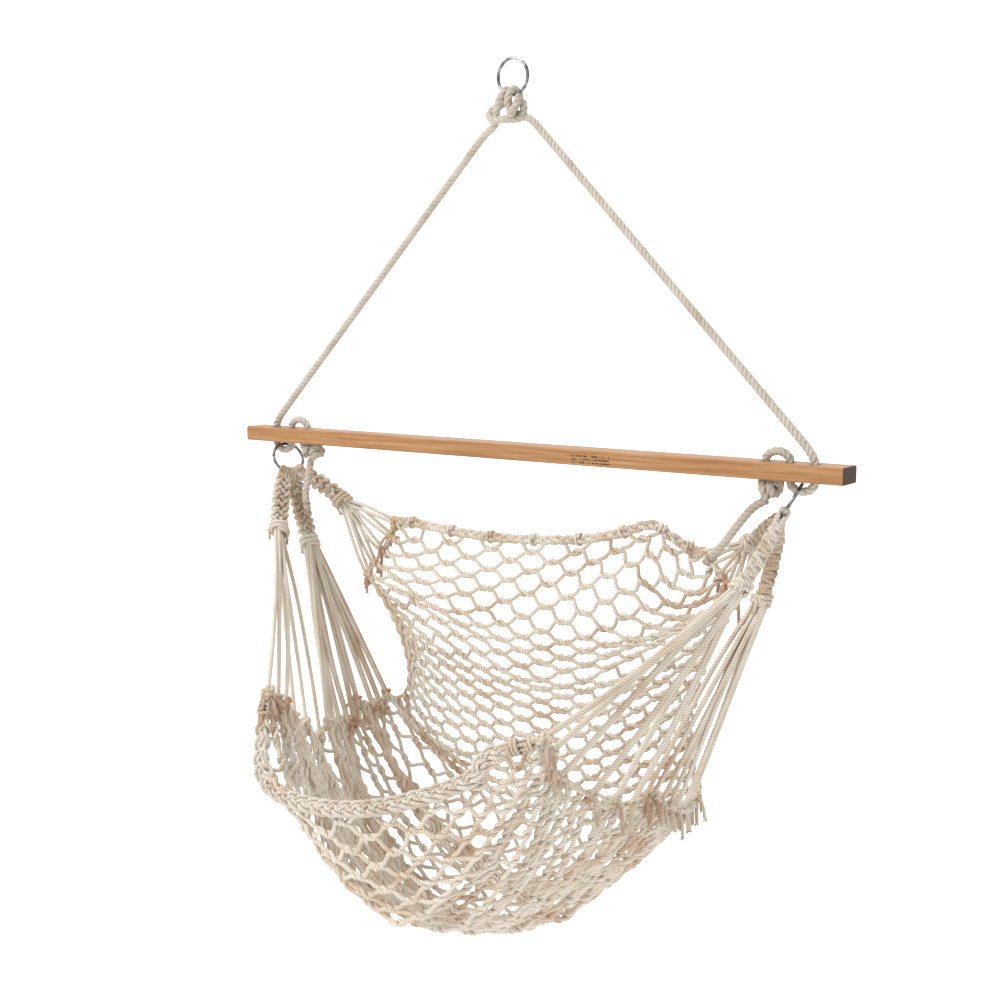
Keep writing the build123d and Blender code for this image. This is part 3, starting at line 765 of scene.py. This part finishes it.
for side, a, b in (("left", FS[1], FS[0]), ("right", FS[-2], FS[-1])):
    rng = np.random.default_rng(7 + len(side))
    c = Cords()
    d = unit(b - a)
    L = np.linalg.norm(b - a)
    e1 = unit(np.cross(d, [0.2, 0.3, 1.0]))
    e2 = np.cross(d, e1)
    if side == "left":
        # the plait opens into parallel strands that rise to the corner knot
        for k in range(6):
            th = 2 * math.pi * k / 6
            o = e1 * math.cos(th) + e2 * math.sin(th)
            cord(c, [a - d * 0.012 + o * 0.006, a + d * 0.010 + o * 0.0085, a + d * L * 0.6 + o * 0.0075, b - d * 0.004 + o * 0.004],
                 0.0031, tone=0.55 + rng.uniform(-0.15, 0.15), phase=k)
        spans = ((0.10, 1.5, 0.0110), (0.78, 2.0, 0.0095))
    else:
        for k in range(5):
            th = 2 * math.pi * k / 5
            o = e1 * math.cos(th) + e2 * math.sin(th)
            cord(c, [a - d * 0.012 + o * 0.006, a + d * L * 0.5 + o * 0.0065, b - d * 0.004 + o * 0.005],
                 0.0031, tone=0.5 + rng.uniform(-0.15, 0.15), phase=k)
        spans = ((0.0, 2.5, 0.0118), (0.5, 2.0, 0.0105))
    for at, turns, rad in spans:
        th = np.linspace(0, 2 * math.pi * turns, int(36 * turns))
        mid = a + d * L * at
        coil = mid + d[None] * ((th / (2 * math.pi)) * 0.0062 + 0.003 * np.cos(th))[:, None] \
            + e1[None] * (rad * np.cos(th))[:, None] + e2[None] * (rad * 0.9 * np.sin(th))[:, None]
        cord(c, coil, 0.0031, tone=0.5, pitch=0.018)
    for k in range(3):
        out = unit(rng.normal(size=3) * [1, 1, 0.4] - Z * 0.4)
        q0 = a + d * L * 0.7
        q1 = q0 + out * 0.014
        q2 = q1 + out * 0.010 - Z * rng.uniform(0.010, 0.024)
        cord(c, [q0, q1, q2], 0.0028, tone=0.35)
        fray(c, q2, q2 - q1, 0.0027, rng, length=0.006, n=8, tone=0.4)
    place(c, "front_corner_lashing_" + side, mat_whip, "seat", ["front_corner_wrap_" + side])


# ------------------------------------------------------------------ the net, hung and settled
def even_points(P, n, most=None):
    """Even points along a line; most is the share of them that lies before its last 95 mm."""
    d = smooth(P, 0.004)
    s = arclen(d)
    t = np.linspace(0, 1, n)
    t = t * s[-1] if most is None else np.interp(t, [0, most, 1], [0, s[-1] - 0.095, s[-1]])
    return np.stack([np.interp(t, s, d[:, k]) for k in range(3)], 1)


ZONES = ((34, 38, 1, 8, 1.25), (14, 33, 0, 16, 0.68), (8, 13, 0, 16, 0.84), (0, 7, 2, 14, 1.0), (39, 50, 0, 9, 1.0), (39, 50, 10, 16, 0.95),
         (51, 66, 0, 4, 1.15), (51, 66, 5, 12, 1.30), (51, 66, 13, 16, 1.10), (67, 97, 0, 4, 0.97), (67, 97, 5, 12, 1.20), (67, 97, 13, 16, 0.94))


def build_net(M=8, nfree=11, KL=0.0262, LC=0.0245):
    order = [("B", k) for k in range(5)] + [("free", k) for k in range(nfree)]
    # rows between the clew cords hang from the rows beside them
    for k in range(9):
        order += [("M", k)] + ([("x", ("M", k, 0.5))] if k < 8 else [])
    for k in range(6):
        order += [("F", k)] + ([("x", ("F", k, 0.33)), ("x", ("F", k, 0.67))] if k < 5 else [])
    NE = len(order)
    NR = 2 * NE - 1

    def edge_line(B, Mm, F):
        pts = []
        for kind, k in order:
            if kind == "B":
                pts.append(B[k])
            elif kind == "M":
                pts.append(Mm[k])
            elif kind == "F":
                pts.append(F[k])
            elif kind == "x":
                g = Mm if k[0] == "M" else F
                pts.append(g[k[1]] * (1 - k[2]) + g[k[1] + 1] * k[2])
            else:
                f = (k + 1) / (nfree + 1)
                pts.append((1 - f) * B[-1] + f * Mm[0] + np.array([-np.sign(B[-1][0]) * 0.03 * math.sin(math.pi * f), 0, -0.02 * math.sin(math.pi * f)]))
        return np.array(pts)

    SL, SR = edge_line(B_L, M_L, F_L), edge_line(B_R, M_R, F_R)
    idx = np.arange(NR)
    sl = np.stack([np.interp(idx / 2, np.arange(NE), SL[:, k]) for k in range(3)], 1)
    sr = np.stack([np.interp(idx / 2, np.arange(NE), SR[:, k]) for k in range(3)], 1)
    W = 2 * M
    bs, fs = even_points(BS, W + 1, 15.2 / 20), even_points(FS, W + 1)

    def sheet_at(i, c):
        s, t = (i + 1) / (NR + 1), c / W
        L, R = sl[min(max(i, 0), NR - 1)], sr[min(max(i, 0), NR - 1)]
        a = int(math.floor(c))
        b = min(a + 1, W)
        f = c - a
        bb, ff = (1 - f) * bs[a] + f * bs[b], (1 - f) * fs[a] + f * fs[b]
        P = (1 - t) * L + t * R + (1 - s) * bb + s * ff - ((1 - s) * ((1 - t) * bs[0] + t * bs[-1]) + s * ((1 - t) * fs[0] + t * fs[-1]))
        return P + np.array([0, 0, -0.42]) * math.sin(math.pi * t) ** 0.8 * math.sin(math.pi * s)

    pos, pin, knots, kn = [], [], [], {}
    h = KL / 2 / 0.045
    for i in range(NR):
        for c_ in (range(0, W + 1, 2) if i % 2 == 0 else range(1, W, 2)):
            a, b = sheet_at(i, max(0, c_ - h)), sheet_at(i, min(W, c_ + h))
            if c_ == 0:
                a, b = sl[i].copy(), sheet_at(i, 2 * h)
            if c_ == W:
                b, a = sr[i].copy(), sheet_at(i, W - 2 * h)
            ia = len(pos)
            pos += [a, b]
            kn[i, c_] = (ia, ia + 1)
            knots.append((ia, ia + 1))
            kind = order[i // 2][0] if i % 2 == 0 else None
            pin.append(c_ == 0 and kind in ("B", "M", "F"))
            pin.append(c_ == W and kind in ("B", "M", "F"))
    bsi, fsi = [], []
    for c_ in range(W + 1):
        bsi.append(len(pos)); pos.append(bs[c_]); pin.append(True)
    for c_ in range(W + 1):
        fsi.append(len(pos)); pos.append(fs[c_]); pin.append(True)
    cords, info = [], []
    for (i, c_), (a, b) in kn.items():
        if (i + 1, c_ - 1) in kn:
            cords.append((a, kn[i + 1, c_ - 1][1])); info.append((i + 0.5, c_ - 0.5))
        if (i + 1, c_ + 1) in kn:
            cords.append((b, kn[i + 1, c_ + 1][0])); info.append((i + 0.5, c_ + 0.5))
        if i == 0:
            if c_ > 0:
                cords.append((a, bsi[c_ - 1])); info.append((-0.5, c_ - 0.5))
            if c_ < W:
                cords.append((b, bsi[c_ + 1])); info.append((-0.5, c_ + 0.5))
        if i == NR - 1:
            if c_ > 0:
                cords.append((a, fsi[c_ - 1])); info.append((NR - 0.5, c_ - 0.5))
            if c_ < W:
                cords.append((b, fsi[c_ + 1])); info.append((NR - 0.5, c_ + 0.5))
    edge, edge_max = [], []
    for i in range(0, NR - 2, 2):
        edge.append((kn[i, 0][0], kn[i + 2, 0][0]))
        edge.append((kn[i, W][1], kn[i + 2, W][1]))
        kinds = (order[i // 2][0], order[i // 2 + 1][0])
        edge_max += [0.0215 if "free" in kinds else 0.05 if "x" not in kinds else 0.012 if i < 65 else 0.018] * 2
    length = np.full(len(cords), LC)
    info = np.array(info)
    for r0, r1, c0, c1, k in ZONES:
        inside = (info[:, 0] >= r0) & (info[:, 0] <= r1) & (info[:, 1] >= c0) & (info[:, 1] <= c1)
        length[inside] *= k
    return dict(pos=np.array(pos), pin=np.array(pin, bool), knots=np.array(knots), cords=np.array(cords), edge=np.array(edge),
                edge_max=np.array(edge_max), kn=kn, bsi=bsi, fsi=fsi, NR=NR, W=W, KL=KL, length=length, info=info)


def settle(net, steps=500, iters=12, minf=0.55, seed=5, dt=0.004):
    rg = np.random.default_rng(seed)
    P = net["pos"].copy()
    Vv = np.zeros_like(P)
    pin = net["pin"]
    K, C, E = net["knots"], net["cords"], net["edge"]
    n = len(P)
    LK = np.full(len(K), net["KL"]) * (1 + 0.10 * rg.standard_normal(len(K)).clip(-2, 2) * 0.6)
    LCc = net["length"] * (1 + 0.06 * rg.standard_normal(len(C)).clip(-2.2, 2.2))
    LE = net["edge_max"]
    I = np.concatenate([K[:, 0], C[:, 0], E[:, 0]])
    J = np.concatenate([K[:, 1], C[:, 1], E[:, 1]])
    hi = np.concatenate([LK, LCc, LE])
    lo = np.concatenate([LK * 0.97, LCc * minf, np.zeros(len(E))])
    w = (~pin).astype(float)
    wi, wj = w[I], w[J]
    ws = np.maximum(wi + wj, 1e-9)
    inv = 1.0 / np.maximum(np.bincount(I, minlength=n) + np.bincount(J, minlength=n), 1)
    P0 = P.copy()
    for _ in range(steps):
        Vv = Vv * 0.985 + dt * np.array([0, 0, -9.81]) * w[:, None]
        Q = P + dt * Vv
        Q[pin] = P0[pin]
        for _k in range(iters):
            d = Q[J] - Q[I]
            L = np.linalg.norm(d, axis=1) + 1e-12
            err = np.where(L > hi, L - hi, np.where(L < lo, L - lo, 0.0))
            cc = (err / L / ws)[:, None] * d
            ci, cj = cc * wi[:, None], -cc * wj[:, None]
            D = np.stack([np.bincount(I, ci[:, a], n) + np.bincount(J, cj[:, a], n) for a in range(3)], 1)
            Q += D * inv[:, None] * 1.6
        Vv = (Q - P) / dt
        vm = np.linalg.norm(Vv, axis=1, keepdims=True)
        Vv *= np.minimum(1, 1.5 / np.maximum(vm, 1e-9))
        P = Q
    net["P"], net["LC"] = P, LCc
    return net


SPLIT = 32
net = settle(build_net())
P, kn, NR, W = net["P"], net["kn"], net["NR"], net["W"]
rng = np.random.default_rng(31)
link_len = {tuple(e): l for e, l in zip(net["cords"].tolist(), net["LC"])}
mid_of = {k: (P[a] + P[b]) / 2 for k, (a, b) in kn.items()}


def net_normal(i, c_):
    """Across the net at a knot: square to the knot and to the rows."""
    a, b = kn[i, c_]
    x = P[b] - P[a]
    up = [mid_of[k] for k in ((i - 2, c_), (i - 1, c_ + 1), (i - 1, c_ - 1)) if k in mid_of]
    dn = [mid_of[k] for k in ((i + 2, c_), (i + 1, c_ + 1), (i + 1, c_ - 1)) if k in mid_of]
    y = (np.mean(dn, 0) if dn else mid_of[i, c_]) - (np.mean(up, 0) if up else mid_of[i, c_])
    nn = np.cross(x, y)
    m = np.linalg.norm(nn)
    return nn / m if m > 1e-9 else np.array([0, -1.0, 0])


twist = {}


def knot_strand(i, c_, which, left_to_right):
    """Points of one of the two cords twisted together in a knot."""
    a, b = kn[i, c_]
    if (i, c_) not in twist:
        twist[i, c_] = (rng.uniform(-0.5, 0.5), rng.uniform(0.90, 1.15), rng.uniform(0.0029, 0.0036))
    ph, turns, rad = twist[i, c_]
    A, B = P[a], P[b]
    x = unit(B - A)
    nn = net_normal(i, c_)
    up = unit(np.cross(nn, x))
    u = np.linspace(0.04, 0.96, 9)
    ang = ph + math.pi * (which + 2 * turns * 0.75 * u) + math.pi / 2
    swell = 0.75 + 0.35 * np.sin(math.pi * u)
    pts = A[None] + (B - A)[None] * u[:, None] + (rad * swell)[:, None] * (np.cos(ang)[:, None] * up[None] + np.sin(ang)[:, None] * nn[None])
    return pts if left_to_right else pts[::-1]


def link(p, q, length):
    """Middle points of a cord between two knots, bowed if it is slack."""
    d = np.linalg.norm(q - p)
    slack = max(0.0, length - d)
    h = math.sqrt(0.375 * d * slack) if d > 1e-4 else 0.0
    bow = -Z * min(h, 0.010) + rng.normal(size=3) * 0.0009
    return [p + (q - p) * 0.35 + bow * 0.85, p + (q - p) * 0.65 + bow * 0.85]


def diagonal(i, c_, step_c):
    """Follows one cord down the net from knot (i, c_), going right (+1) or left (-1) at each row."""
    runs, pts = [], []
    which = 0 if step_c > 0 else 1
    if i == 0:
        col = c_ - step_c
        if 0 <= col <= W:
            sel = P[net["bsi"][col]]
            end = kn[i, c_][0] if step_c > 0 else kn[i, c_][1]
            pts += [sel] + link(sel, P[end], 0)
    while True:
        pts += list(knot_strand(i, c_, which, step_c > 0))
        nxt = (i + 1, c_ + step_c)
        a_end = kn[i, c_][1] if step_c > 0 else kn[i, c_][0]
        if nxt in kn:
            b_end = kn[nxt][0] if step_c > 0 else kn[nxt][1]
            lk = link(P[a_end], P[b_end], link_len.get((a_end, b_end), 0))
            if i == SPLIT:
                pts.append(lk[0])
                runs.append(("back", pts))
                pts = [lk[0]]
            pts += lk
            i, c_ = nxt
        else:
            if i == NR - 1 and 0 <= c_ + step_c <= W:
                sel = P[net["fsi"][c_ + step_c]]
                pts += link(P[a_end], sel, 0) + [sel]
            break
    runs.append(("back" if i <= SPLIT else "seat", pts))
    return runs


net_runs = {"back": [], "seat": []}
starts = []
for c_ in range(0, W + 1, 2):
    for sc in (1, -1):
        starts.append((0, c_, sc))
for i in range(1, NR):
    # a cord starts at the side edges where no knot lies up-diagonal
    if i % 2 == 0:
        starts += [(i, 0, 1), (i, W, -1)]
for i, c_, sc in starts:
    if (i, c_) in kn:
        for zone, pts in diagonal(i, c_, sc):
            if len(pts) > 3:
                net_runs[zone].append(np.array(pts))

for zone in ("back", "seat"):
    runs = net_runs[zone]
    parts = 4 if zone == "back" else 7
    order = sorted(range(len(runs)), key=lambda k: runs[k][:, 0].mean())
    for part in range(parts):
        c = Cords()
        for k in order[part * len(order) // parts:(part + 1) * len(order) // parts]:
            # the cords from the left middle clew are raw cotton, browner than the rest
            q0 = runs[k][0] - [0, 0, BAR_Z]
            raw = 0.13 if q0[0] < -0.27 and q0[2] < -0.42 and q0[1] > -0.13 else 0.0
            cord(c, runs[k], 0.0037, tone=0.6 - raw + rng.uniform(-0.25, 0.22), pitch=0.016, phase=rng.uniform(0, 6), step=0.0026, amp=0.085)
        name = "net_%s_cords_%d" % (zone, part + 1)
        place(c, name, mat_net, "seat", ["net_" + zone])

# side edge cords, and loops round the back selvage
c = Cords()
for a, b in net["edge"]:
    p, q = P[a], P[b]
    d = np.linalg.norm(p - q)
    for e in (-1, 1):
        bow = np.array([np.sign(p[0]) * (0.003 + 0.003 * e), 0.003 * e, -0.003 - 0.002 * e])
        cord(c, [p, p + (q - p) * 0.5 + bow, q], 0.0035, tone=0.5 + rng.uniform(-0.15, 0.15), phase=rng.uniform(0, 6), amp=0.09)
for ids, line, rad, r in ((net["bsi"], BS, 0.0096, 0.0029),):
    dense = smooth(line, 0.004)
    tt = np.gradient(dense, axis=0)
    for k in ids[1:-1:2]:
        j = int(np.argmin(np.linalg.norm(dense - P[k], axis=1)))
        tn = unit(tt[j])
        e1 = unit(np.cross(tn, [0.1, 1.0, 0.2]))
        e2 = np.cross(tn, e1)
        a = np.linspace(0, 2 * math.pi * 1.15, 34)
        q = dense[j] + tn[None] * ((a / (2 * math.pi) - 0.5) * 0.006)[:, None] + e1[None] * (rad * np.cos(a))[:, None] + e2[None] * (rad * np.sin(a) * 0.92)[:, None]
        cord(c, q, r, tone=0.5 + rng.uniform(-0.15, 0.15), phase=rng.uniform(0, 6))
place(c, "net_edge_cords", mat_net, "seat", [])

# ------------------------------------------------------------------ floor and light
def pale(name, col, rough):
    m = bpy.data.materials.new(name)
    nt, N, L, b = nodes_of(m)
    b.inputs["Base Color"].default_value = (*col, 1)
    b.inputs["Roughness"].default_value = rough
    return m


floor_mesh = bpy.data.meshes.new("studio_floor")
z0 = -2.05
fx, fy = -math.sin(yaw), math.cos(yaw)
verts, faces = [], []
prof = [(-6.0, z0), (5.0, z0)]
for k in range(1, 13):
    a = math.radians(90 * k / 12)
    prof.append((5.0 + 2.0 * math.sin(a), z0 + 2.0 * (1 - math.cos(a))))
prof.append((7.0, 9.0))
for d, z in prof:
    for w in (-14.0, 14.0):
        verts.append((fx * d + fy * w, fy * d - fx * w, z))
for k in range(len(prof) - 1):
    faces.append((2 * k, 2 * k + 1, 2 * k + 3, 2 * k + 2))
floor_mesh.from_pydata(verts, [], faces)
floor_mesh.polygons.foreach_set("use_smooth", [True] * len(faces))
floor_mat = pale("pale_floor", (0.86, 0.86, 0.86), 0.9)
floor_mat.node_tree.nodes["Principled BSDF"].inputs["Emission Color"].default_value = (1, 1, 1, 1)
floor_mat.node_tree.nodes["Principled BSDF"].inputs["Emission Strength"].default_value = 0.38
floor_mesh.materials.append(floor_mat)
floor = bpy.data.objects.new("studio_floor", floor_mesh)
bpy.context.scene.collection.objects.link(floor)

world = bpy.context.scene.world or bpy.data.worlds.new("studio_world")
bpy.context.scene.world = world
world.use_nodes = True
world.node_tree.nodes["Background"].inputs[0].default_value = (0.98, 0.99, 1.0, 1)
world.node_tree.nodes["Background"].inputs[1].default_value = 0.62


def area(name, loc, target, size, power, color=(1, 1, 1)):
    ld = bpy.data.lights.new(name, "AREA")
    ld.shape = "RECTANGLE"
    ld.size, ld.size_y = size
    ld.energy = power
    ld.color = color
    o = bpy.data.objects.new(name, ld)
    o.location = loc
    d = Vector(target) - Vector(loc)
    o.rotation_euler = d.to_track_quat("-Z", "Y").to_euler()
    bpy.context.scene.collection.objects.link(o)
    return o


area("key_light", (-1.6, -2.8, 1.6), (0, 0, -0.8), (1.6, 1.6), 95, (1.0, 0.985, 0.96))
area("fill_light", (3.2, -2.4, 0.4), (0, 0, -0.9), (2.2, 2.2), 26, (0.97, 0.985, 1.0))
area("top_light", (0.2, 0.6, 2.6), (0, 0, -0.8), (2.4, 2.4), 50)
area("backdrop_light", (fx * 3.0, fy * 3.0, 2.2), (fx * 7, fy * 7, -0.6), (6.0, 2.0), 120)
